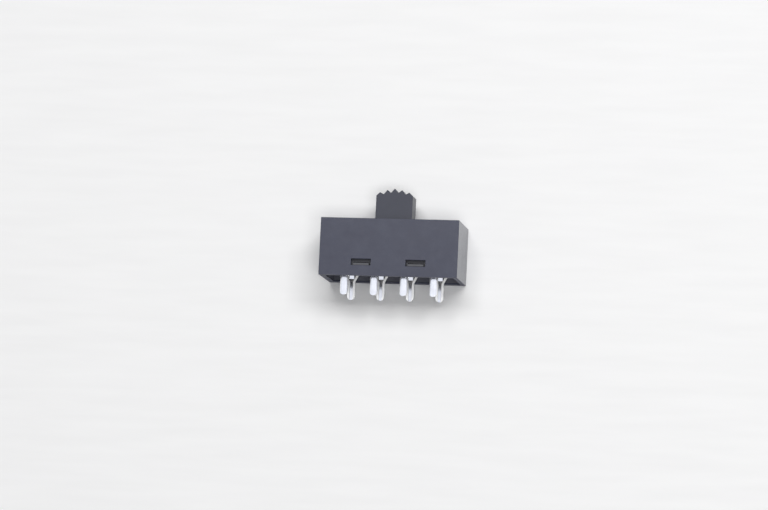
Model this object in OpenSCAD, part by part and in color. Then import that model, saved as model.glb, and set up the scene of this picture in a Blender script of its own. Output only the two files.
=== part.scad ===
// Three-position slide switch, two rows of four terminals.
// Millimetres. The switch lies on its rear face: X is the slider's travel,
// Y points the way the knob stands, Z rises from the rear face to the front face.
// The origin is the middle of the rear face.

/* [Housing] */
// Length along the travel
housing_l = 21.8; // [21.4:0.1:30]
// Height from the open rim to the slotted top
housing_h = 9; // [8.6:0.1:12]
// Depth from the rear face to the front face
housing_d = 10.2; // [10:0.1:14]
// Thickness of the front and rear walls
wall_side = 1; // [0.8:0.05:1.2]
// Thickness of the end walls at the rim
wall_end = 0.8; // [0.7:0.05:1.1]
// Thickness of the slotted top wall
wall_top = 1.1; // [0.9:0.05:1.4]
// Width of the step in each end wall that the base seats against
seat_step = 0.3; // [0.2:0.05:0.4]
// Lead-in chamfer inside the open rim
rim_chamfer = 0.1; // [0.05:0.05:0.3]
// Radius of the round recess in the left end where the plastic came in
gate_r = 0.9; // [0.6:0.1:1.5]
// Depth of that recess
gate_t = 0.15; // [0.1:0.05:0.3]

/* [Snap windows] */
// Width of a window
window_w = 3.1; // [2.8:0.1:4]
// Height of a window
window_h = 1; // [0.95:0.05:1.2]
// Distance between the two windows of one wall
window_pitch = 8.6; // [6:0.1:9]
// Distance from the rim to the lower edge of a window
window_sill = 1.6; // [1.5:0.05:1.9]
// Width of a snap hook
hook_w = 2.5; // [1.5:0.1:2.6]
// How far a hook reaches into the wall
hook_reach = 0.7; // [0.4:0.05:0.79]
// Height of the hook's flat nose
hook_nose = 0.1; // [0.05:0.05:0.2]
// Height of the hook's sloped brow above the nose
hook_brow = 0.24; // [0.1:0.02:0.3]
// How far the brow slopes back
hook_slope = 0.06; // [0.02:0.02:0.2]
// Height of the steep ramp above the brow
hook_ramp = 0.2; // [0.1:0.05:0.3]

/* [Base] */
// Distance from the rim up to the underside of the base
base_recess = 1.25; // [1:0.05:1.4]
// Thickness of the base
base_t = 1.7; // [1.5:0.05:2]
// Thickness of the barrier between the two rows
barrier_t = 0.8; // [0.6:0.1:1]
// Height of the barrier above the base
barrier_h = 0.9; // [0.5:0.1:1.2]
// Width of the moulding recess in the underside
core_w = 2.2; // [1.5:0.1:3]
// Depth of the moulding recess in the underside
core_t = 0.5; // [0.3:0.1:0.7]
// Radius of the marks that the ejector pins leave in that recess
ejector_r = 0.6; // [0.4:0.1:0.8]
// Depth of the ejector marks
ejector_t = 0.08; // [0.04:0.02:0.15]

/* [Terminals] */
// Distance between neighbouring terminals of a row, and so the slider's step
pitch = 4.7; // [3.6:0.1:4.7]
// Distance from a wall's inner face to the row of pins beside it
row_gap = 0.4; // [0.2:0.05:0.6]
// Thickness of the terminal's sheet
sheet = 0.35; // [0.25:0.01:0.42]
// Width of the folded pin
pin_w = 1.25; // [1.1:0.05:1.6]
// Depth of the folded pin
pin_d = 0.7; // [0.6:0.05:1]
// How far a pin stands out beyond the rim
pin_out = 2.9; // [2:0.1:4]
// How far the neck steps the tab inwards from the pin
joggle = 0.3; // [0.2:0.05:0.4]
// Width of the neck between the pin and the tab
neck_w = 0.75; // [0.6:0.05:1]
// Height above the rim at which the neck starts to step inwards
neck_start = 0.45; // [0.2:0.05:0.6]
// Distance across the two ears that splay out under the base
ear_w = 2.5; // [2.2:0.1:3]
// Width of the flat tab in the base, and of the contact pad
tab_w = 2.4; // [2:0.1:3]
// Length of the contact pad across the switch
pad_l = 2.1; // [1.9:0.1:2.3]
// Inner radius of the folds
fold_inner = 0.05; // [0.03:0.01:0.1]

/* [Slider] */
// Width of the knob along the travel
knob_w = 5.8; // [4.8:0.1:7]
// Thickness of the knob
knob_t = 3.5; // [3:0.1:4]
// Height of the knob's middle tooth above the housing
knob_h = 5.25; // [4:0.05:8]
// Radius of the arc that the other tooth tips lie on
crown_r = 5.7; // [4:0.1:8]
// How far the middle tooth stands above that arc, as the knob's pointer
pointer_h = 0.12; // [0:0.02:0.4]
// Number of teeth
teeth = 5; // [3:2:7]
// Distance between the teeth
tooth_pitch = 1.16; // [0.8:0.02:1.2]
// Depth of the grooves between the teeth
tooth_depth = 0.55; // [0.3:0.05:0.8]
// Drop from the tip arc to the knob's two upper corners
shoulder_drop = 0.24; // [0:0.02:0.4]
// Wall around the hollow inside the knob
knob_wall = 1; // [0.8:0.1:1.2]

/* [Contacts] */
// Width of a moving contact
bar_w = 1.7; // [1.3:0.1:1.8]
// Thickness of a moving contact
bar_t = 0.4; // [0.3:0.05:0.5]
// Length of a moving contact beyond each of its dimples
bar_end = 0.95; // [0.8:0.05:1.1]
// Height of a dimple
dimple_h = 0.35; // [0.25:0.05:0.45]
// Sphere radius of a dimple
dimple_r = 0.8; // [0.6:0.05:1]
// Radius of the pip that centres a contact spring
pip_r = 0.4; // [0.3:0.05:0.44]
// Height of the pip
pip_h = 0.25; // [0.15:0.05:0.35]
// Fitted length of a contact spring
spring_l = 2.1; // [1.8:0.1:2.3]
// Mean radius of a contact spring
spring_r = 0.6; // [0.58:0.01:0.66]
// Wire diameter of a contact spring
spring_wire = 0.22; // [0.16:0.02:0.24]
// Number of turns in a contact spring
spring_turns = 5; // [4:0.5:6]

/* [Detent] */
// Depth of a detent notch in the ceiling
notch_depth = 0.45; // [0.3:0.05:0.5]
// Width of a detent notch
notch_w = 1.4; // [1.2:0.05:1.6]
// How far the leaf's crest stands in its notch
detent_bite = 0.3; // [0.2:0.05:0.3]
// Length of a detent leaf
leaf_l = 7.4; // [6:0.1:8]
// Width of a detent leaf
leaf_w = 1.2; // [0.8:0.1:1.3]
// Thickness of a detent leaf
leaf_t = 0.15; // [0.1:0.01:0.18]
// Depth of the leaf's recess in the carriage
leaf_recess = 0.7; // [0.6:0.05:0.9]

/* [Clearances] */
// Gap around the base in the housing
base_gap = 0.05; // [0.02:0.01:0.1]
// Gap around a terminal in the base
terminal_gap = 0.03; // [0.02:0.01:0.06]
// Gap between the carriage and the walls, and between the knob and its slot
slide_gap = 0.06; // [0.04:0.01:0.1]
// Gap under the carriage
foot_gap = 0.15; // [0.1:0.01:0.25]
// Gap left at each end of the travel
stop_gap = 0.15; // [0.1:0.01:0.3]
// Gap between a dimple and its pad
touch_gap = 0.02; // [0.01:0.01:0.05]
// Gap around the contacts and springs in their pockets
pocket_gap = 0.1; // [0.06:0.01:0.12]

/* [Quality] */
// Segments of a full circle
segments = 48; // [24:8:96]
// Segments in one turn of a spring
coil_steps = 14; // [12:2:24]

/* [Hidden] */
columns = 4;
rows = ["rear", "front"];
halves = ["left", "right"];
terminal_names = [for (row = rows, i = [1:columns]) str("terminal_", row, "_", i)];
contact_names = [for (row = rows) str("contact_", row)];
spring_names = [for (row = rows, half = halves) str("contact_spring_", row, "_", half)];
leaf_names = [for (row = rows) str("detent_leaf_", row)];

eps = 0.01;
$fn = segments;

// Heights, from the rim up
y_rim = -housing_h / 2;
y_top = housing_h / 2;
y_ceiling = y_top - wall_top;
y_base = y_rim + base_recess;
y_pad = y_base + base_t;
y_sill = y_rim + window_sill;
y_barrier = y_pad + barrier_h;
y_tip = y_rim - pin_out;

// Inside of the housing
pocket_l = housing_l - 2 * wall_end;
cavity_l = pocket_l - 2 * seat_step;
inner_d = housing_d - 2 * wall_side;
z_mid = housing_d / 2;

// Terminals: distances of the pins and the tabs from the outer face
row_inset = wall_side + row_gap;
tab_inset = row_inset + joggle;
// Outer radius of a fold in the terminal's sheet
fold_r = sheet + fold_inner;

// Travel and what it sizes
travel = pitch;
carriage_l = cavity_l - 2 * (travel + stop_gap);
carriage_d = inner_d - 2 * slide_gap;
y_foot = y_pad + foot_gap;
y_deck = y_ceiling - slide_gap;
slot_l = knob_w + 2 * (travel + stop_gap);
slot_d = knob_t + 2 * slide_gap;

// Moving contacts
z_contact = tab_inset + pad_l / 2 + sheet / 2;
y_bar = y_pad + touch_gap + dimple_h;
y_bar_top = y_bar + bar_t;
bar_l = pitch + 2 * bar_end;
well_r = spring_r + spring_wire / 2 + pocket_gap;

// Detent leaf
z_leaf = (slot_d / 2 + carriage_d / 2) / 2;
y_leaf = y_deck - leaf_recess;
leaf_rise = y_ceiling + detent_bite - y_leaf - leaf_t;
leaf_foot = 0.5;
leaf_bump = 0.9;
leaf_arm_rise = leaf_rise - (notch_depth + detent_bite) * 0.6;
leaf_steps = 60;

// ---- Helpers -------------------------------------------------------------

// A block between two opposite corners
module block(low, high) {
    translate(low) cube(high - low);
}

// A block centred on x = 0 and z = z_mid, from y0 to y1
module centred(l, d, y0, y1) {
    block([-l / 2, y0, z_mid - d / 2], [l / 2, y1, z_mid + d / 2]);
}

// Puts its children on the rear side or the front side. They are drawn with
// z = 0 on the housing's outer face and +z into the switch.
module on_side(row) {
    if (row == "rear") children();
    else translate([0, 0, housing_d]) mirror([0, 0, 1]) children();
}

module on_both_sides() {
    for (row = rows) on_side(row) children();
}

// Extrudes a profile drawn in (x, z) along +Y
module along_y(h) {
    rotate([-90, 0, 0]) linear_extrude(h) mirror([0, 1]) children();
}

// Extrudes a profile drawn in (z, y) along X, centred
module along_x(l) {
    rotate([0, 90, 0]) linear_extrude(l, center = true) mirror([1, 0]) children();
}

function column_x(i) = (i - (columns + 1) / 2) * pitch;

// ---- Housing -------------------------------------------------------------

module housing() {
    color("#3f424c") difference() {
        centred(housing_l, housing_d, y_rim, y_top);
        centred(pocket_l, inner_d, y_rim - eps, y_pad);
        centred(cavity_l, inner_d, y_pad - eps, y_ceiling);
        centred(slot_l, slot_d, y_ceiling - eps, y_top + eps);
        for (stop = [-1:1]) translate([stop * travel, 0, 0]) detent_notch();
        on_both_sides() for (side = [-1, 1]) window(side * window_pitch / 2);
        rim_lead_in();
        gate_recess();
    }
}

module window(x) {
    block([x - window_w / 2, y_sill, -eps], [x + window_w / 2, y_sill + window_h, wall_side + eps]);
}

// A V groove across the ceiling for the crest of the detent leaf
module detent_notch() {
    mouth = notch_w / 2 * (1 + eps / notch_depth);
    translate([0, 0, wall_side]) linear_extrude(inner_d)
        polygon([[-mouth, y_ceiling - eps], [mouth, y_ceiling - eps], [0, y_ceiling + notch_depth]]);
}

// A dish around the trimmed stub of the gate
module gate_recess() {
    translate([-housing_l / 2, 0, z_mid]) rotate([0, 90, 0]) difference() {
        translate([0, 0, -eps]) cylinder(r = gate_r, h = gate_t + eps);
        cylinder(r = gate_r / 3, h = gate_t);
    }
}

// The mitred chamfer inside the rim that guides the base in
module rim_lead_in() {
    intersection() {
        translate([0, 0, z_mid]) along_x(housing_l) lead_in_profile(inner_d);
        linear_extrude(housing_d) lead_in_profile(pocket_l);
    }
}

// A shallow trapezium that is as wide as the opening above its slanted sides
module lead_in_profile(width) {
    wide = width / 2 + rim_chamfer + eps;
    narrow = width / 2 - eps;
    polygon([[-wide, y_rim - eps], [wide, y_rim - eps],
             [narrow, y_rim + rim_chamfer + eps], [-narrow, y_rim + rim_chamfer + eps]]);
}

// ---- Base ----------------------------------------------------------------

module base() {
    color("#33353c") difference() {
        union() {
            centred(pocket_l - 2 * base_gap, inner_d - 2 * base_gap, y_base, y_pad);
            centred(cavity_l - 2 * base_gap, barrier_t, y_pad - eps, y_barrier);
            on_both_sides() for (side = [-1, 1]) translate([side * window_pitch / 2, 0, 0]) hook();
        }
        on_both_sides() for (i = [1:columns]) translate([column_x(i), 0, 0]) terminal_seat();
        centred(cavity_l - 2 * wall_end, core_w, y_base - eps, y_base + core_t);
        for (i = [1:columns]) translate([column_x(i), y_base, z_mid])
            rotate([-90, 0, 0]) cylinder(r = ejector_r, h = core_t + ejector_t);
    }
}

// A nose that snaps into a window, with a brow and a ramp above it
module hook() {
    root = wall_side + base_gap;
    nose = wall_side - hook_reach;
    y_low = y_sill + base_gap;
    y_brow = y_low + hook_nose + hook_brow;
    along_x(hook_w) polygon([[root + eps, y_low], [nose, y_low], [nose, y_low + hook_nose],
                             [nose + hook_slope, y_brow], [root, y_brow + hook_ramp],
                             [root + eps, y_brow + hook_ramp]]);
}

// The slit for a terminal's tab and fold, and the bed that its pad lies in
module terminal_seat() {
    x = tab_w / 2 + terminal_gap;
    z_out = tab_inset - terminal_gap;
    z_in = tab_inset + max(fold_r, sheet + terminal_gap);
    block([-x, y_base - eps, z_out], [x, y_pad + eps, z_in]);
    block([-x, y_pad - sheet, z_out], [x, y_pad + eps, tab_inset + pad_l + terminal_gap]);
}

// ---- Terminals -----------------------------------------------------------

// One strip of sheet: a pad flat on the base, a tab down through it, a neck that
// steps out towards the wall, and a pin folded to a gutter that is open towards
// the middle of the switch. The tops of the gutter's walls splay out as ears.
module terminal(column) {
    color("#d8dade") translate([column_x(column), 0, row_inset]) {
        translate([0, 0, joggle]) terminal_tab();
        terminal_neck();
        for (side = [0, 1]) mirror([side, 0, 0]) terminal_ear();
        terminal_pin();
    }
}

// The pad, the fold that turns it down, and the tab below the fold
module terminal_tab() {
    along_x(tab_w) {
        translate([0, y_base]) square([sheet, y_pad - fold_r - y_base]);
        translate([fold_r, y_pad - sheet]) square([pad_l - fold_r, sheet]);
        translate([fold_r, y_pad - fold_r]) intersection() {
            difference() {
                circle(fold_r);
                circle(fold_r - sheet);
            }
            translate([-fold_r, 0]) square(fold_r);
        }
    }
}

// The neck, upright above the rim and then slanting up to the tab
module terminal_neck() {
    y_bend = y_rim + neck_start;
    outer = [[joggle, y_base + eps], [joggle, y_base], [0, y_bend], [0, y_rim - eps]];
    inner = [[sheet, y_rim - eps], [sheet, y_bend], [joggle + sheet, y_base], [joggle + sheet, y_base + eps]];
    along_x(neck_w) polygon(concat(outer, inner));
}

// One ear: the end of a gutter wall, splayed out until it meets the base
module terminal_ear() {
    y_ear = y_base - terminal_gap;
    spread = (ear_w - pin_w) / 2;
    edge = sheet / cos(atan(spread / (y_ear - y_rim)));
    translate([0, 0, fold_r]) linear_extrude(pin_d - fold_r)
        polygon([[pin_w / 2 - sheet, y_rim - eps], [pin_w / 2, y_rim - eps], [pin_w / 2, y_rim],
                 [ear_w / 2, y_ear], [ear_w / 2 - edge, y_ear], [pin_w / 2 - sheet, y_rim]]);
}

// The gutter with its rounded tip
module terminal_pin() {
    intersection() {
        translate([0, y_tip, 0]) along_y(y_rim - y_tip) gutter();
        linear_extrude(pin_d) union() {
            translate([0, y_tip + pin_w / 2]) circle(pin_w / 2);
            translate([-pin_w / 2, y_tip + pin_w / 2]) square([pin_w, y_rim - y_tip - pin_w / 2]);
        }
    }
}

// Cross-section of the gutter: a round-cornered web and two walls
module gutter() {
    difference() {
        round_cornered(pin_w, pin_d, fold_r);
        translate([0, sheet]) round_cornered(pin_w - 2 * sheet, pin_d, fold_r - sheet);
    }
}

// A rectangle that starts at y = 0 and has its two lower corners rounded
module round_cornered(w, h, r) {
    translate([-w / 2, r]) square([w, h - r]);
    translate([r - w / 2, 0]) square([w - 2 * r, h]);
    for (side = [-1, 1]) translate([side * (w / 2 - r), r]) circle(r);
}

// ---- Slider --------------------------------------------------------------

// Knob and carriage in one moulding
module slider() {
    color("#383b44") difference() {
        union() {
            centred(carriage_l, carriage_d, y_foot, y_deck);
            translate([0, 0, z_mid - knob_t / 2]) linear_extrude(knob_t) knob_outline();
        }
        centred(carriage_l + 2 * eps, barrier_t + 4 * pocket_gap, y_foot - eps, y_barrier + foot_gap);
        knob_core();
        on_both_sides() {
            contact_pocket();
            leaf_pocket();
        }
    }
}

// Side view of the knob: straight sides and a toothed crown on an arc
module knob_outline() {
    half = (teeth - 1) / 2;
    tips = [for (i = [-half:half]) let (x = i * tooth_pitch)
        [x, crown_y(x) + (i == 0 ? pointer_h : 0)]];
    valleys = [for (i = [-half:half - 1]) let (x = (i + 0.5) * tooth_pitch)
        [x, crown_y(x) - tooth_depth]];
    crown = [for (i = [0:teeth - 1]) each i < teeth - 1 ? [tips[i], valleys[i]] : [tips[i]]];
    y_corner = crown_y(knob_w / 2) - shoulder_drop;
    polygon(concat([[knob_w / 2, y_deck - eps], [-knob_w / 2, y_deck - eps], [-knob_w / 2, y_corner]],
                   crown, [[knob_w / 2, y_corner]]));
}

// Height of the tip arc at distance x from the middle of the knob
function crown_y(x) = y_top + knob_h - pointer_h - crown_r + sqrt(crown_r * crown_r - x * x);

// The hollow that keeps the knob's walls even
module knob_core() {
    y_roof = crown_y(knob_w / 2) - shoulder_drop - knob_wall;
    centred(knob_w - 2 * knob_wall, knob_t - 2 * knob_wall, y_foot - eps, y_roof);
}

// Pocket for one moving contact, with a well for each of its springs
module contact_pocket() {
    x = bar_l / 2 + pocket_gap;
    z = bar_w / 2 + pocket_gap;
    block([-x, y_foot - eps, z_contact - z], [x, y_bar_top + 2 * pocket_gap, z_contact + z]);
    for (half = halves) translate([half_x(half), y_bar, z_contact])
        rotate([-90, 0, 0]) cylinder(r = well_r, h = bar_t + spring_l);
}

// Recess for one detent leaf in the top of the carriage
module leaf_pocket() {
    x = leaf_l / 2 + pocket_gap;
    z = leaf_w / 2 + pocket_gap / 2;
    block([-x, y_leaf, z_mid - z_leaf - z], [x, y_deck + eps, z_mid - z_leaf + z]);
}

// ---- Contacts ------------------------------------------------------------

function half_x(half) = (half == "left" ? -1 : 1) * pitch / 2;

// A bar that bridges two neighbouring pads, with a dimple over each
module contact() {
    color("#c9b28a") translate([0, 0, z_contact]) {
        block([-bar_l / 2, y_bar, -bar_w / 2], [bar_l / 2, y_bar_top, bar_w / 2]);
        for (half = halves) translate([half_x(half), 0, 0]) {
            dimple();
            translate([0, y_bar_top - eps, 0]) rotate([-90, 0, 0]) cylinder(r = pip_r, h = pip_h + eps);
        }
    }
}

// The cap of a sphere under the bar
module dimple() {
    intersection() {
        translate([0, y_bar - dimple_h + dimple_r, 0]) sphere(dimple_r);
        block([-dimple_r, y_bar - dimple_h - eps, -dimple_r], [dimple_r, y_bar + eps, dimple_r]);
    }
}

// A compression spring whose first and last turns lie closed
module contact_spring(half) {
    rings = round(spring_turns * coil_steps);
    sides = 6;
    points = [for (k = [0:rings], s = [0:sides - 1]) coil_point(k / coil_steps, 360 * (s + 0.5) / sides)];
    tube = [for (k = [0:rings - 1], s = [0:sides - 1]) let (t = (s + 1) % sides)
        [k * sides + s, k * sides + t, (k + 1) * sides + t, (k + 1) * sides + s]];
    ends = [[for (s = [sides - 1:-1:0]) s], [for (s = [0:sides - 1]) rings * sides + s]];
    color("#b9bcc2") translate([half_x(half), y_bar_top, z_contact])
        polyhedron(points, concat(tube, ends));
}

// A point on the wire's surface, after so many turns and at an angle round the wire
function coil_point(turns, angle) =
    let (wire_r = spring_wire / 2, r = spring_r + wire_r * cos(angle))
    [r * cos(360 * turns), wire_r + coil_rise(turns) + wire_r * sin(angle), r * sin(360 * turns)];

// Height of the wire's middle: the end turns rise slowly, the others evenly
function coil_rise(turns) =
    let (closed = 0.8, slow = spring_wire * closed, open = spring_turns - 2 * closed,
         rise = spring_l - spring_wire - 2 * slow)
    turns < closed ? spring_wire * turns
    : turns > spring_turns - closed ? slow + rise + spring_wire * (turns - spring_turns + closed)
    : slow + rise * (turns - closed) / open;

// ---- Detent --------------------------------------------------------------

// A bowed leaf: flat feet, straight arms and a crest that drops into a notch
module detent_leaf() {
    xs = [for (k = [0:leaf_steps]) (k / leaf_steps - 0.5) * leaf_l];
    upper = [for (x = xs) [x, leaf_y(x)] + leaf_t * leaf_normal(x)];
    lower = [for (k = [leaf_steps:-1:0]) [xs[k], leaf_y(xs[k])]];
    color("#b9bcc2") translate([0, y_leaf, z_mid - z_leaf - leaf_w / 2])
        linear_extrude(leaf_w) polygon(concat(upper, lower));
}

// Height of the leaf's lower face at x
function leaf_y(x) =
    let (from_foot = leaf_l / 2 - leaf_foot - abs(x), arm = leaf_l / 2 - leaf_foot,
         crest = abs(x) < leaf_bump ? (1 + cos(180 * x / leaf_bump)) / 2 : 0)
    (from_foot > 0 ? leaf_arm_rise * from_foot / arm : 0) + crest * (leaf_rise - leaf_arm_rise);

// Direction square to the leaf at x
function leaf_normal(x) =
    let (slope = (leaf_y(x + eps) - leaf_y(x - eps)) / (2 * eps), n = sqrt(1 + slope * slope))
    [-slope / n, 1 / n];

// ---- Assembly ------------------------------------------------------------

housing();
base();
slider();
for (row = rows) on_side(row) {
    for (i = [1:columns])
        terminal(i);
    contact();
    for (half = halves)
        contact_spring(half);
    detent_leaf();
}
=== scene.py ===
# %% [markdown]
# # A slide switch, from frame to finish
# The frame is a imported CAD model: every moulding, terminal and spring is in it at its true size,
# and each rides on a body, so that the slider can travel. This lesson gives those parts their
# looks. Lengths in the scene are metres, but the parts are small, so sizes are written in
# millimetres and multiplied by MM.

# %% Load the frame
import math

import bmesh
import bpy
from mathutils import Matrix, Vector


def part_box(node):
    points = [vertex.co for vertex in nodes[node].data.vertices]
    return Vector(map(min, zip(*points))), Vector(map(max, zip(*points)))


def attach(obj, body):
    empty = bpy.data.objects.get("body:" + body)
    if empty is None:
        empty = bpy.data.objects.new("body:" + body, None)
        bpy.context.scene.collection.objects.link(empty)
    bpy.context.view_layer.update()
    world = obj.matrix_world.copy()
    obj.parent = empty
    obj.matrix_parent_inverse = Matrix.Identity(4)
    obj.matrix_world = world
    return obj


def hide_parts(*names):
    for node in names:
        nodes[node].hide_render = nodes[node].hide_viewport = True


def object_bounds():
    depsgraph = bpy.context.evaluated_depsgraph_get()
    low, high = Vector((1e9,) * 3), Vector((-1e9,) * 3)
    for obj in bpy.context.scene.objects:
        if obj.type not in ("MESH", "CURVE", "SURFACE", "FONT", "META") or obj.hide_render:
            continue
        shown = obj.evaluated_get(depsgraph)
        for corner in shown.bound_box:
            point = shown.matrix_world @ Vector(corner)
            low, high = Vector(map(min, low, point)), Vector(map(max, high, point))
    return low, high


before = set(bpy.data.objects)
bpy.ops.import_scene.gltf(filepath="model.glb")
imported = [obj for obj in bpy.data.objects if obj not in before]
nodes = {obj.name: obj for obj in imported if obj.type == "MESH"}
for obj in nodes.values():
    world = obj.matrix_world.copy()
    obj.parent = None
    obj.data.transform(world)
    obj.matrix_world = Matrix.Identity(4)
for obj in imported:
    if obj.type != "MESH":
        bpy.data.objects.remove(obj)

MM = 0.001
cad_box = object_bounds()
scene = bpy.context.scene

# %% [markdown]
# ## Where things are
# Nothing is placed by eye. The case's box gives the middle of the object, which the panels are
# hung over and the matt inside is measured from; the camera aims at a given point on the table.
# The case lies on its rear face, so the front face is on top.

# %% Measure the case
case_low, case_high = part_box("housing")
case_size = case_high - case_low
case_middle = (case_low + case_high) / 2
print("case in mm:", [round(s / MM, 2) for s in case_size])

# %% [markdown]
# ## The camera
# A small part looks best from far away through a long lens, which keeps its edges almost
# parallel. The camera stands nearly above the switch, a little to its right and a little below
# it, so the front face, one end and the open underside show. The small roll lets the case lie
# slightly askew, as a part does that was simply put down.

# %% Aim the camera
AIM = Vector((-2.4, 0.1, 0)) * MM           # the point on the table that the camera looks at
UP = Vector((0, 1, 0))                      # what shows as upwards before the roll
AZIMUTH, ELEVATION, ROLL = 52.3, 77.9, 2.7  # degrees
DISTANCE = 581 * MM
NEAREST, FARTHEST = 10 * MM, 10             # nothing nearer or farther than this is seen
LENS, SENSOR = 172.3, 36                    # millimetres


def direction(azimuth, elevation):
    a, e = math.radians(azimuth), math.radians(elevation)
    return Vector((math.sin(a) * math.cos(e), -math.cos(a) * math.cos(e), math.sin(e)))


def facing(back, up, roll):
    """The turn of a camera that has back behind it and up above it, rolled by some degrees."""
    right = Matrix.Rotation(math.radians(roll), 3, back) @ up.cross(back).normalized()
    return Matrix((right, back.cross(right), back)).transposed().to_4x4()


camera = bpy.data.objects.new("camera", bpy.data.cameras.new("camera"))
scene.collection.objects.link(camera)
scene.camera = camera
camera.data.lens, camera.data.sensor_width = LENS, SENSOR
camera.data.clip_start, camera.data.clip_end = NEAREST, FARTHEST
back = direction(AZIMUTH, ELEVATION)
camera.matrix_world = Matrix.Translation(AIM + DISTANCE * back) @ facing(back, UP, ROLL)
print("camera in mm:", [round(c / MM, 1) for c in camera.matrix_world.translation])

# %% [markdown]
# ## Node trees in short
# Every finish below is a node tree, because a procedural finish keeps its detail at any distance.
# Building one takes many small steps, and three helpers shorten them: one gives a socket a value
# or a link, one adds a node with its settings, and one starts a material.

# %% Helpers that build a tree
def feed(tree, socket, value):
    """Give a socket a plain value, or link it to another node's output."""
    if isinstance(value, bpy.types.NodeSocket):
        tree.links.new(value, socket)
    else:
        socket.default_value = value


def add(tree, kind, settings=None, **inputs):
    node = tree.nodes.new("ShaderNode" + kind)
    for name, value in (settings or {}).items():
        setattr(node, name, value)
    for name, value in inputs.items():
        feed(tree, node.inputs[name.replace("_", " ")], value)
    return node


def new_material(name, **inputs):
    material = bpy.data.materials.new(name)
    material.use_nodes = True
    tree = material.node_tree
    shader = tree.nodes["Principled BSDF"]
    for socket, value in inputs.items():
        shader.inputs[socket.replace("_", " ")].default_value = value
    return material, tree, shader


# %% [markdown]
# ## Places and numbers in a tree
# A finish starts from a place: a pattern needs to know where on the part it is, and a mask needs
# one axis of that. Places are scaled to millimetres, so a noise's scale is roughly its number of
# lumps to the millimetre. What comes out is a grey value, which is summed, spread or made a mask.

# %% Helpers that measure and reckon
def in_millimetres(tree):
    place = add(tree, "TexCoord").outputs["Object"]
    return add(tree, "VectorMath", {"operation": "SCALE"}, Vector=place, Scale=1 / MM).outputs[0]


def along(tree, kind, axis):
    """One axis of a point's Normal, or of its Generated place, which is 0 to 1 in its part."""
    parts = add(tree, "SeparateXYZ", Vector=add(tree, "TexCoord").outputs[kind])
    return parts.outputs[axis]


def noise(tree, place, scale=1.0, **inputs):
    return add(tree, "TexNoise", Vector=place, Scale=scale, **inputs).outputs["Fac"]


def calculate(tree, operation, *values):
    node = add(tree, "Math", {"operation": operation})
    for socket, value in zip(node.inputs, values):
        feed(tree, socket, value)
    return node.outputs[0]


def spread(tree, source, low, high):
    """Stretch a grey value, which is 0 to 1, from low to high."""
    return add(tree, "MapRange", Value=source, To_Min=low, To_Max=high).outputs["Result"]


def fade(tree, source, start, end, interpolation="LINEAR"):
    """A mask that is 0 up to start and 1 beyond end."""
    return add(tree, "MapRange", {"interpolation_type": interpolation}, Value=source,
               From_Min=start, From_Max=end).outputs["Result"]


# %% [markdown]
# ## Colours and relief in a tree
# The last step of a finish reaches the shader. A ramp turns a grey value into a colour, a mask
# lays a new value over an old one, and a height becomes relief: the shader bends the light as if
# the surface rose and fell by that depth, which is right for grain too fine to model.

# %% Helpers that reach the shader
def ramp(tree, source, *stops):
    """Turn a grey value into a colour between two stops, each a position and its colour."""
    node = add(tree, "ValToRGB", Fac=source)
    for mark, (position, colour) in zip(node.color_ramp.elements, stops):
        mark.position = position
        mark.color = (*colour, 1)
    return node.outputs["Color"]


def lay_over(tree, shader, socket, mask, colour):
    """Where mask is 1, the shader's socket takes colour in place of what fed it."""
    below = shader.inputs[socket].links[0].from_socket
    either = add(tree, "MixRGB", Fac=mask, Color1=below, Color2=(*colour, 1))
    feed(tree, shader.inputs[socket], either.outputs["Color"])


def emboss(tree, shader, height, depth, strength=1.0):
    bump = add(tree, "Bump", Strength=strength, Distance=depth, Height=height)
    feed(tree, shader.inputs["Normal"], bump.outputs[0])
    return bump


# %% [markdown]
# ## The background
# A studio's background has one shade, and it is set here once, because the table fades into it
# and the world shows it. Only rays that look at the background see it: those from the camera, and
# those that come by way of a mirror or glass. All other rays see the true light, which is dimmer.

# %% Set the background
STUDIO = 0.9
NEUTRAL = (0.99, 0.99, 1.0)


def looks_at_background(tree):
    ray = add(tree, "LightPath").outputs
    seen = ray["Is Camera Ray"]
    for kind in ("Is Glossy Ray", "Is Transmission Ray"):
        seen = calculate(tree, "MAXIMUM", seen, ray[kind])
    return seen


print("background:", [round(STUDIO * c, 3) for c in NEUTRAL])

# %% [markdown]
# ## A pale board
# The switch lies on a pale board. A perfectly even white floor looks like a cut-out, so a noise
# stretched along one direction gives it faint streaks, as in a brushed coat of paint. They are
# used twice, in the colour and, very shallow, in the relief.

# %% Paint the board
STREAK_TURN = 0.12                         # radians
STREAK_SCALE = (0.06, 0.5, 1)              # lumps to the millimetre: along, across and up
STREAK_DEPTH, STREAK_STRENGTH = 0.05 * MM, 0.15
DULLEST, PALEST = (0.92, 0.92, 0.92), (0.95, 0.95, 0.95)


def pale_board():
    material, tree, shader = new_material("pale_board", Roughness=0.6)
    stretched = add(tree, "Mapping", Vector=in_millimetres(tree),
                    Rotation=(0, 0, STREAK_TURN), Scale=STREAK_SCALE)
    streaks = noise(tree, stretched.outputs[0], Detail=5.0)
    feed(tree, shader.inputs["Base Color"], ramp(tree, streaks, (0.3, DULLEST), (0.7, PALEST)))
    emboss(tree, shader, streaks, STREAK_DEPTH, STREAK_STRENGTH)
    return material, tree, shader


# %% [markdown]
# ## The table
# The lamps leave the far end of a table dark, and a low camera would see that as a hard horizon.
# So from FADE_FROM outwards the board turns smoothly into the background, as paper does that is
# curved up behind a small object. Only the rays that look at the background see that, so it lights
# nothing, and it is kept off the renderer's list of lamps.

# %% Make the table
TABLE_SIDE, TABLE_CELLS = 4.0, 8
FADE_FROM, FADE_TO = 0.10, 0.55


def make_object(name, shape, material):
    mesh = bpy.data.meshes.new(name)
    shape.to_mesh(mesh)
    shape.free()
    mesh.materials.append(material)
    piece = bpy.data.objects.new(name, mesh)
    scene.collection.objects.link(piece)
    return piece


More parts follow.
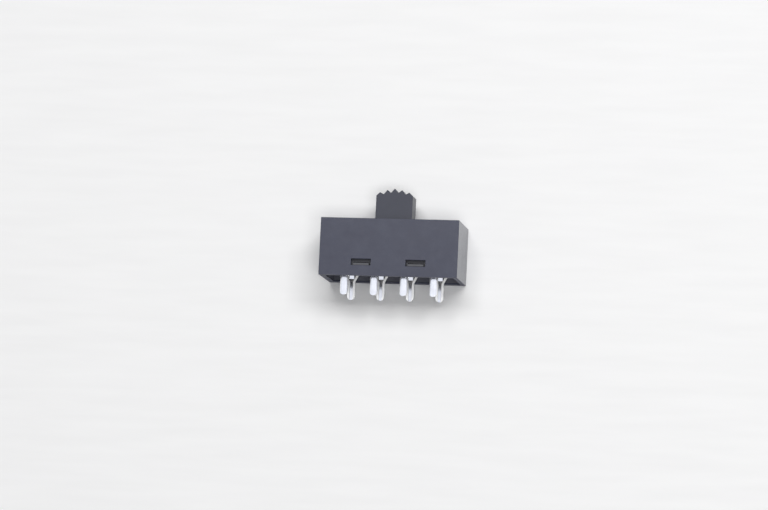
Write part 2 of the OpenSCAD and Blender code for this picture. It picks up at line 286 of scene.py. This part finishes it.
def fade_into_background(material, tree, shader):
    place = add(tree, "TexCoord").outputs["Object"]
    away = add(tree, "VectorMath", {"operation": "LENGTH"}, Vector=place).outputs["Value"]
    far = fade(tree, away, FADE_FROM, FADE_TO, "SMOOTHSTEP")
    glow = add(tree, "Emission", Color=(*NEUTRAL, 1), Strength=STUDIO)
    curve = add(tree, "MixShader", Fac=calculate(tree, "MULTIPLY", far, looks_at_background(tree)))
    feed(tree, curve.inputs[1], shader.outputs[0])
    feed(tree, curve.inputs[2], glow.outputs[0])
    feed(tree, tree.nodes["Material Output"].inputs["Surface"], curve.outputs[0])
    material.cycles.emission_sampling = "NONE"


def make_table():
    material, tree, shader = pale_board()
    fade_into_background(material, tree, shader)
    shape = bmesh.new()
    bmesh.ops.create_grid(shape, x_segments=TABLE_CELLS, y_segments=TABLE_CELLS,
                          size=TABLE_SIDE / 2)
    table = make_object("table", shape, material)
    table.location.z = cad_box[0].z
    print("table:", TABLE_SIDE, "m square, at height", round(table.location.z, 6))


make_table()

# %% [markdown]
# ## The light
# Two soft panels hang level over the table. The long one, over the knob's side, throws the
# shadow that lies under the terminals: it is long along the switch and narrow across it, so the
# shadow ends crisply below and fades slowly at its two ends. The small one, on the camera's side,
# opens that shadow up and lights the gutters. The world adds the rest. The three shares add up to
# one, which means that a card lying on the table renders in its own colour, and so every finish
# can be written as it should look. A panel's power follows from its share: what reaches the card
# weakens with the square of the distance, and twice more because panel and card are seen aslant.

# %% Hang the panels
PANEL_HIGH = 1200 * MM
LONG_SHARE, SMALL_SHARE, WORLD_SHARE = 0.63, 0.25, 0.12


def hang_panel(name, over, size, share):
    """Hang a panel that faces down. over and size are fractions of its height."""
    panel = bpy.data.objects.new(name, bpy.data.lights.new(name, "AREA"))
    panel.data.shape = "RECTANGLE"
    panel.data.size, panel.data.size_y = (PANEL_HIGH * s for s in size)
    panel.location = case_middle + PANEL_HIGH * Vector((*over, 1))
    slant = 1 + over[0] ** 2 + over[1] ** 2
    panel.data.energy = share * (math.pi * PANEL_HIGH * slant) ** 2
    scene.collection.objects.link(panel)
    print(name, "power in watts:", round(panel.data.energy, 2))


hang_panel("long_panel", over=(0.22, 0.42), size=(1.0, 0.28), share=LONG_SHARE)
hang_panel("small_panel", over=(0.25, -0.25), size=(0.42, 0.25), share=SMALL_SHARE)

# %% [markdown]
# ## The world
# Mirrors and the camera see a paler world than matt surfaces do, which gives a white studio
# without washing the shadow out. Shiny surfaces see it a little cooler too, as if the sky came in
# over the panels. The plain view transform shows every colour as it is written.

# %% Make the world
COOL = (0.90, 0.935, 1.05)


def make_world():
    world = bpy.data.worlds.new("studio")
    scene.world = world
    world.use_nodes = True
    tree = world.node_tree
    backdrop = tree.nodes["Background"]
    shiny = add(tree, "LightPath").outputs["Is Glossy Ray"]
    feed(tree, backdrop.inputs["Color"], ramp(tree, shiny, (0, NEUTRAL), (1, COOL)))
    strength = spread(tree, looks_at_background(tree), WORLD_SHARE, STUDIO)
    feed(tree, backdrop.inputs["Strength"], strength)
    print("world:", WORLD_SHARE, "for matt surfaces,", STUDIO, "for the camera and mirrors")


make_world()
scene.view_settings.view_transform = "Standard"

# %% [markdown]
# ## Moulded plastic
# The case, the base and the slider are moulded in black plastic, and black plastic is never pure
# black: it is a dark grey with a cast of its own. Four things make it look moulded. The colour
# drifts a little where the melt cooled at different speeds. The gloss drifts with it. The cavity
# was spark-eroded, so the skin has a fine even grain. And the rim round the open underside, where
# the mould parted, is left dull. An image could hold all that, but noises stay sharp close up.

# %% A plastic with grain, drift and a dull rim
MATT = (0.6, 0.6, 0.6)                 # a roughness, written as a grey
PLASTIC_DRIFT = 0.04                   # how far the roughness drifts either way
COLOUR_LUMPS, GLOSS_LUMPS = 0.35, 0.8  # lumps to the millimetre
RIM_FROM, RIM_TO = -0.75, -0.95        # a face turned this far towards the open side is rim
SWELL = 0.4                            # the scale of the swell under the grain, beside the grain's


def moulded_plastic(name, dark, light, gloss, grain, grain_depth, ior=1.54):
    """A plastic with so many grains to the millimetre, and grain_depth in millimetres."""
    material, tree, shader = new_material(name, IOR=ior)
    place = in_millimetres(tree)
    drift = noise(tree, place, COLOUR_LUMPS, Detail=3.0, Roughness=0.6)
    feed(tree, shader.inputs["Base Color"], ramp(tree, drift, (0.3, dark), (0.7, light)))

    flow = noise(tree, place, GLOSS_LUMPS, Detail=4.0, Distortion=1.2)
    skin = spread(tree, flow, gloss - PLASTIC_DRIFT, gloss + PLASTIC_DRIFT)
    feed(tree, shader.inputs["Roughness"], skin)
    rim = fade(tree, along(tree, "Normal", "Y"), RIM_FROM, RIM_TO)
    lay_over(tree, shader, "Roughness", rim, MATT)

    pits = add(tree, "TexVoronoi", Vector=place, Scale=grain, Randomness=1.0)
    swell = noise(tree, place, grain * SWELL, Detail=2.0)
    relief = calculate(tree, "ADD", pits.outputs["Distance"], swell)
    emboss(tree, shader, relief, grain_depth * MM)
    print(name, "with a grain of", round(1 / grain, 2), "mm")
    return material


# %% [markdown]
# ## Three plastics
# The case has the most gloss, over an even grain. The slider is acetal, a waxy plastic that slides
# well: it bends light less, has the finest grain, and is blacker and softer in its shine. The base
# comes from another batch, duller and coarser, and shows only through the windows and under the
# rim.

# %% Mix the plastics
case_plastic = moulded_plastic(
    "case_plastic", dark=(0.037, 0.039, 0.064), light=(0.046, 0.050, 0.078),
    gloss=0.22, grain=9, grain_depth=0.0025)
knob_plastic = moulded_plastic(
    "knob_plastic", dark=(0.007, 0.009, 0.022), light=(0.011, 0.013, 0.028),
    gloss=0.36, grain=14, grain_depth=0.0012, ior=1.48)
base_plastic = moulded_plastic(
    "base_plastic", dark=(0.034, 0.034, 0.040), light=(0.042, 0.042, 0.050),
    gloss=0.45, grain=7, grain_depth=0.003)

# %% [markdown]
# ## The inside of the case
# A mould is polished only where the part shows. The core that forms the inside keeps its tool
# marks, so the walls behind the open underside are matt, and matt black looks greyer than glossy
# black. Their colour is also painted about twice as light as the case's, as painted fill light for
# a recess that the lamps barely reach. A second material with a second set of faces would do, but
# a mask needs no new faces: the case's box is scaled so that its inside, less a thin skin, reaches
# from -1 to 1 along each axis, and a point is inside when none of its three coordinates is beyond
# that.

# %% Dull the inside, with painted fill light
SKIN = 0.3 * MM
# painted fill light: a lighter colour for the inside, where little light reaches
INSIDE_PAINTED_FILL = (0.075, 0.077, 0.098)


def matt_inside_painted_fill(material, colour):
    tree = material.node_tree
    shader = tree.nodes["Principled BSDF"]
    room = case_size / 2 - Vector((SKIN, SKIN, SKIN))
    scaled = add(tree, "Mapping", {"vector_type": "TEXTURE"}, Vector=in_millimetres(tree),
                 Location=case_middle / MM, Scale=room / MM)
    off_middle = add(tree, "VectorMath", {"operation": "ABSOLUTE"}, Vector=scaled.outputs[0])
    x, y, z = add(tree, "SeparateXYZ", Vector=off_middle.outputs[0]).outputs
    farthest = calculate(tree, "MAXIMUM", calculate(tree, "MAXIMUM", x, y), z)
    inside = calculate(tree, "LESS_THAN", farthest, 1)
    # painted fill light: the inside takes the lighter colour; its matt roughness below is real
    lay_over(tree, shader, "Base Color", inside, colour)
    lay_over(tree, shader, "Roughness", inside, MATT)
    print("matt room in mm:", [round(2 * r / MM, 2) for r in room])


matt_inside_painted_fill(case_plastic, INSIDE_PAINTED_FILL)

# %% [markdown]
# ## Rounded edges
# No moulded edge is truly sharp, and the thin line of light along a rounded edge is what makes a
# small part look solid. The CAD surfaces are exact but sharp, so each part gets a stack of
# modifiers: weld the split corners, clear the flat faces of extra edges, round what is left, and
# let the flat faces keep their own shading. Blender would shrink a rounding that it thinks too
# wide for the shortest edge, so that is switched off, and each radius is kept small enough.

# %% Round the edges of a part
WELD_WITHIN = 0.0005 * MM
FLAT_BELOW, SHARP_ABOVE = math.radians(1), math.radians(30)


def round_edges(part, radius, segments=3):
    weld = part.modifiers.new("weld", "WELD")
    weld.merge_threshold = WELD_WITHIN
    flats = part.modifiers.new("flats", "DECIMATE")
    flats.decimate_type = "DISSOLVE"
    flats.angle_limit = FLAT_BELOW
    bevel = part.modifiers.new("rounding", "BEVEL")
    bevel.width = radius * MM
    bevel.segments = segments
    bevel.limit_method = "ANGLE"
    bevel.angle_limit = SHARP_ABOVE
    bevel.miter_outer = "MITER_SHARP"
    bevel.use_clamp_overlap = False
    shading = part.modifiers.new("shading", "WEIGHTED_NORMAL")
    shading.keep_sharp = True


def finish_node(name, material, radius=0, **rounding):
    """Give a part its material and, where radius isn't 0, round its edges by so many mm."""
    part = nodes[name]
    part.data.materials.clear()
    part.data.materials.append(material)
    if radius:
        round_edges(part, radius, **rounding)
    print(name, "in", material.name, "with its edges rounded by", radius, "mm")


finish_node("housing", case_plastic, 0.06)
finish_node("base", base_plastic, 0.02)
finish_node("slider", knob_plastic, 0.06)

# %% [markdown]
# ## Silvery metal
# The terminals are stamped from plated strip. Rolling leaves fine lines along the strip, which
# stretch every highlight across them, and the plating clouds a little. A metal has no colour of
# its own under the shine, so the base colour is the colour of the reflection itself. The lines are
# a noise squeezed across the pin and drawn out along it, used twice: in the gloss and in the
# relief. The folds are finer than the modifiers can round, so for them the shader blends the
# normals that lie within soft_edge of each other, which rounds the light on an edge and leaves the
# edge alone.

# %% A rolled and plated metal
CLOUDING, CLOUD_LUMPS = 0.06, 0.9  # how much darker a cloud is, and its lumps to the millimetre
METAL_DRIFT = 0.06                 # how far the roughness drifts either way
LINE_DEPTH = 0.0008 * MM
LINE_LUMPS = 0.6                   # lumps to the millimetre along a line
EDGE_SAMPLES = 6


def rolled_metal(name, colour, gloss, lines, soft_edge=0):
    """A metal with so many lines to the millimetre, and soft_edge in millimetres."""
    material, tree, shader = new_material(name, Metallic=1.0)
    place = in_millimetres(tree)
    duller = tuple((1 - CLOUDING) * c for c in colour)
    clouds = noise(tree, place, CLOUD_LUMPS, Detail=4.0)
    feed(tree, shader.inputs["Base Color"], ramp(tree, clouds, (0.35, duller), (0.6, colour)))

    drawn = add(tree, "Mapping", Vector=place, Scale=(lines, LINE_LUMPS, lines))
    rolling = noise(tree, drawn.outputs[0], Detail=3.0)
    skin = spread(tree, rolling, gloss - METAL_DRIFT, gloss + METAL_DRIFT)
    feed(tree, shader.inputs["Roughness"], skin)
    bump = emboss(tree, shader, rolling, LINE_DEPTH)
    if soft_edge:
        blend = add(tree, "Bevel", {"samples": EDGE_SAMPLES}, Radius=soft_edge * MM)
        feed(tree, bump.inputs["Normal"], blend.outputs[0])
    print(name, "with", lines, "lines to the millimetre")
    return material, tree, shader


# %% [markdown]
# ## Terminals and their cut edges
# Strip is plated before it is stamped, so the faces of a terminal shine and its cut edges are
# torn: duller, and a little warmer from the brass. On the pins the cut edges are the tops of the
# gutter's walls, which all lie at one depth. A terminal's own depth runs from 0 to 1 in its
# generated coordinates, and the front row is the rear row mirrored, so the distance from the
# half-way mark picks out the wall tops of both. The outsides of the walls rubbed along the folding
# die, and the neck's sides are cut too, so whatever faces along the row is made dull as well.

# %% Finish the terminals
PIN_DEPTH = 0.7 * MM               # from the back of a gutter to the tops of its walls
HALF_WAY, CUT_BAND = 0.5, 0.012    # in a terminal's own depth
RUBBED_FROM, RUBBED_TO = 0.5, 0.9  # a face turned this far along the row is rubbed
CUT_COLOUR = (0.95, 0.94, 0.90)
TORN = (0.42, 0.42, 0.42)          # a roughness, written as a grey
terminals = [name for name in nodes if name.startswith("terminal")]


def plated_strip():
    material, tree, shader = rolled_metal("silver_plate", (0.955, 0.955, 0.95), 0.14,
                                          lines=18, soft_edge=0.045)
    low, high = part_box(terminals[0])
    wall_top = HALF_WAY - PIN_DEPTH / (high.z - low.z)
    depth = along(tree, "Generated", "Z")
    off_middle = calculate(tree, "ABSOLUTE", calculate(tree, "SUBTRACT", depth, HALF_WAY))
    cut = calculate(tree, "COMPARE", off_middle, wall_top, CUT_BAND)
    sideways = calculate(tree, "ABSOLUTE", along(tree, "Normal", "X"))
    rubbed = fade(tree, sideways, RUBBED_FROM, RUBBED_TO)
    lay_over(tree, shader, "Base Color", cut, CUT_COLOUR)
    lay_over(tree, shader, "Roughness", calculate(tree, "MAXIMUM", cut, rubbed), TORN)
    return material


silver_plate = plated_strip()
for name in terminals:
    finish_node(name, silver_plate)
print("terminals:", len(terminals))

# %% [markdown]
# ## Moving contacts
# Each contact is a bar of copper alloy with a silvery dimple at either end. Only the dimples
# wipe over the pads, so the plating is there and the bar keeps its warm colour. One material holds
# both: the height inside the part says where the dimples end.

# %% Finish the contacts
BAR_ABOVE, DIMPLES_BELOW = 0.34, 0.28  # in a contact's own height: between them the plating fades
DIMPLE_COLOUR = (0.9, 0.9, 0.89)


def contact_metal():
    material, tree, shader = rolled_metal("contact_metal", (0.80, 0.62, 0.42), 0.32, lines=8)
    dimple = fade(tree, along(tree, "Generated", "Y"), BAR_ABOVE, DIMPLES_BELOW)
    lay_over(tree, shader, "Base Color", dimple, DIMPLE_COLOUR)
    return material


copper_alloy = contact_metal()
for name in ("contact_rear", "contact_front"):
    finish_node(name, copper_alloy, 0.02)

# %% [markdown]
# ## The line of a spring's wire
# The frame's springs have a six-sided wire, which is enough to size them. A real spring is drawn
# round, so each one is wound again here: a circle of the wire's thickness is carried along a helix
# that fills the spring's own box. The first and last turns lie closed, and the turns between rise
# evenly. The two rows are mirror images, so their springs are wound opposite ways.

# %% Lay rings along a helix
WIRE = 0.22 * MM
TURNS, CLOSED = 5, 0.8  # all the turns, and how many lie closed at either end
STEPS, SIDES = 36, 12   # rings to a turn, and corners to a ring


def wire_height(turn, height):
    """How far the wire has risen after so many turns of a spring of this height."""
    slow, rise = WIRE * CLOSED, height - WIRE - 2 * WIRE * CLOSED
    if turn < CLOSED:
        return WIRE * turn
    if turn > TURNS - CLOSED:
        return slow + rise + WIRE * (turn - TURNS + CLOSED)
    return slow + rise * (turn - CLOSED) / (TURNS - 2 * CLOSED)


def wire_rings(shape, low, high):
    middle = (low + high) / 2
    radius = (high.x - low.x - WIRE) / 2
    hand = 1 if middle.z < case_middle.z else -1
    corners = [2 * math.pi * k / SIDES for k in range(SIDES)]
    rings = []
    for step in range(TURNS * STEPS + 1):
        turn = step / STEPS
        a = 2 * math.pi * turn
        out = Vector((math.cos(a), 0, hand * math.sin(a)))
        height = low.y + WIRE / 2 + wire_height(turn, high.y - low.y)
        centre = Vector((middle.x, height, middle.z))
        rings.append([shape.verts.new(centre + (radius + WIRE / 2 * math.cos(c)) * out
                                      + Vector((0, WIRE / 2 * math.sin(c), 0))) for c in corners])
    return rings


# %% [markdown]
# ## Winding the contact springs
# The rings are joined to a tube with a flat face at either end, and the tube is shaded smooth
# while its ends stay flat. Each spring stands for the frame's plain one and rides on the slider.

# %% Wind the springs
def join_rings(shape, rings):
    for one, other in zip(rings, rings[1:]):
        for k in range(SIDES):
            following = (k + 1) % SIDES
            shape.faces.new((one[k], one[following], other[following], other[k]))
    shape.faces.new(rings[0])
    shape.faces.new(rings[-1])
    bmesh.ops.recalc_face_normals(shape, faces=shape.faces)
    for face in shape.faces:
        face.smooth = len(face.verts) == 4


def wind_spring(node, steel):
    shape = bmesh.new()
    join_rings(shape, wire_rings(shape, *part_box(node)))
    spring = make_object(node + "_wire", shape, steel)
    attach(spring, "slider")
    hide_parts(node)
    return spring


spring_steel, *_ = rolled_metal("spring_steel", (0.56, 0.56, 0.58), 0.26, lines=6)
springs = [wind_spring(name, spring_steel) for name in nodes if name.startswith("contact_spring")]
print("springs:", len(springs), "of", len(springs[0].data.polygons), "faces")

# %% [markdown]
# ## Detent leaves
# Two bowed leaves of spring steel click into notches in the case's ceiling. They are blued a little
# by tempering, except on the crest, which rubs bright.

# %% Finish the leaves
CREST_FROM, CREST_TO = 0.86, 0.97  # in a leaf's own height
CREST_COLOUR = (0.72, 0.72, 0.72)


def leaf_steel():
    material, tree, shader = rolled_metal("leaf_steel", (0.42, 0.44, 0.50), 0.3, lines=6)
    crest = fade(tree, along(tree, "Generated", "Y"), CREST_FROM, CREST_TO)
    lay_over(tree, shader, "Base Color", crest, CREST_COLOUR)
    return material


tempered_steel = leaf_steel()
for name in ("detent_leaf_rear", "detent_leaf_front"):
    finish_node(name, tempered_steel, 0.03, segments=2)
